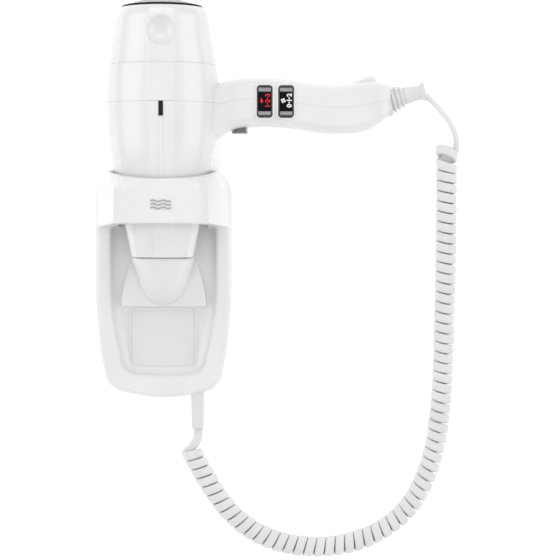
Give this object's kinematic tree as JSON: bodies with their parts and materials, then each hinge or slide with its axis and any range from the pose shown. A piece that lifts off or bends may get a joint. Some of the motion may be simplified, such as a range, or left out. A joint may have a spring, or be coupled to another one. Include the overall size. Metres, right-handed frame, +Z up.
{
  "type": "hair dryer",
  "caption": "Wall-mounted hair dryer: a white barrel with a curved side grip standing nozzle down in a hooped wall holder, joined by a curly cord.",
  "frame": {"origin": "on the wall, at the middle of the holder's back face", "axes": "+Y into the wall, +Z up, +X to the right of someone facing the wall, the way the grip points"},
  "size_m": [0.2767, 0.094, 0.4306],
  "materials": {
    "holder_base": "fine matt moulded surface",
    "holder_white": "glossy moulded white",
    "panel_white": "satin moulded white",
    "terminal_nylon": "natural nylon",
    "terminal_brass": "plain turned brass",
    "screw_steel": "zinc-plated steel",
    "switch_black": "moulded black",
    "boot_white": "satin soft moulding",
    "shell_white": "high-gloss moulded white",
    "ring_chrome": "bright plated",
    "grille_steel": "fine woven steel",
    "filter_mesh": "fine woven filter",
    "fan_plastic": "glass-filled black",
    "motor_steel": "drawn steel can",
    "mica": "pressed mica sheet",
    "heater_wire": "bright resistance wire",
    "frame_grey": "satin dark grey",
    "rocker_black": "glossy black",
    "board_green": "coated circuit board",
    "cord_white": "satin flexible cord sheath"
  },
  "bodies": {
    "wall_holder": {"base_plate": "holder_base", "front_cover": "holder_white", "holder_hoop": "holder_white", "air_deflector": "holder_white", "blank_panel": "panel_white", "terminal_block": "terminal_nylon", "terminal_screws": "terminal_brass", "cable_clamp": "terminal_nylon", "clamp_screws": "screw_steel", "cover_screws": "screw_steel", "safety_switch": "switch_black", "lever_bracket": "holder_base", "holder_cord_boot": "boot_white", "cord_coil": "cord_white", "cord_lower_lead": "cord_white"},
    "handset": {"front_shell": "shell_white", "rear_shell": "shell_white", "slot_insert": "switch_black", "hanging_lug": "shell_white", "handle_cord_boot": "boot_white", "motor_can": "motor_steel", "motor_mount": "fan_plastic", "heat_shield": "mica", "heater_frame": "mica", "heater_coil": "heater_wire", "thermostat": "switch_black", "thermal_fuse": "screw_steel", "outlet_grille": "switch_black", "heat_switch_frame": "frame_grey", "speed_switch_frame": "frame_grey", "cold_shot_switch": "switch_black", "button_spring": "screw_steel", "circuit_board": "board_green", "handle_cable_clamp": "terminal_nylon", "shell_screws": "screw_steel", "cord_upper_lead": "cord_white"},
    "rear_cap": {"rear_cap": "shell_white", "chrome_ring": "ring_chrome", "inlet_grille": "grille_steel", "dust_filter": "filter_mesh", "filter_frame": "switch_black"},
    "fan": {"fan_impeller": "fan_plastic", "motor_shaft": "screw_steel"},
    "heat_rocker": {"heat_rocker": "rocker_black"},
    "speed_rocker": {"speed_rocker": "rocker_black"},
    "cold_shot_button": {"cold_shot_button": "ring_chrome"},
    "safety_lever": {"safety_lever": "holder_white"}
  },
  "joints": [
    {"name": "handset_lift", "type": "slide", "parent": "wall_holder", "child": "handset", "axis": [0, 0, 1], "range_m": [0, 0.1]},
    {"name": "rear_cap_pull", "type": "slide", "parent": "handset", "child": "rear_cap", "axis": [0, 0, 1], "range_m": [0, 0.025]},
    {"name": "fan_spin", "type": "hinge", "parent": "handset", "child": "fan", "pos_m": [0, -0.05, 0.1545], "axis": [0, 0, 1], "continuous": true},
    {"name": "heat_rocker_tilt", "type": "hinge", "parent": "handset", "child": "heat_rocker", "pos_m": [0.0762, -0.063, 0.1395], "axis": [1, 0, 0], "range_deg": [-9, 9]},
    {"name": "speed_rocker_tilt", "type": "hinge", "parent": "handset", "child": "speed_rocker", "pos_m": [0.0921, -0.063, 0.1395], "axis": [1, 0, 0], "range_deg": [-9, 9]},
    {"name": "cold_shot_press", "type": "slide", "parent": "handset", "child": "cold_shot_button", "axis": [0, 0, 1], "range_m": [0, 0.002], "stiffness_N_per_m": 300, "springref_m": -0.002, "deforming": ["button_spring"]},
    {"name": "safety_lever_swing", "type": "hinge", "parent": "wall_holder", "child": "safety_lever", "pos_m": [0, -0.0076, 0.07], "axis": [-1, 0, 0], "range_deg": [0, 10]}
  ],
  "couplings": [
    {"joint": "safety_lever_swing", "follows": "handset_lift", "rad_per_m": 1.7}
  ]
}
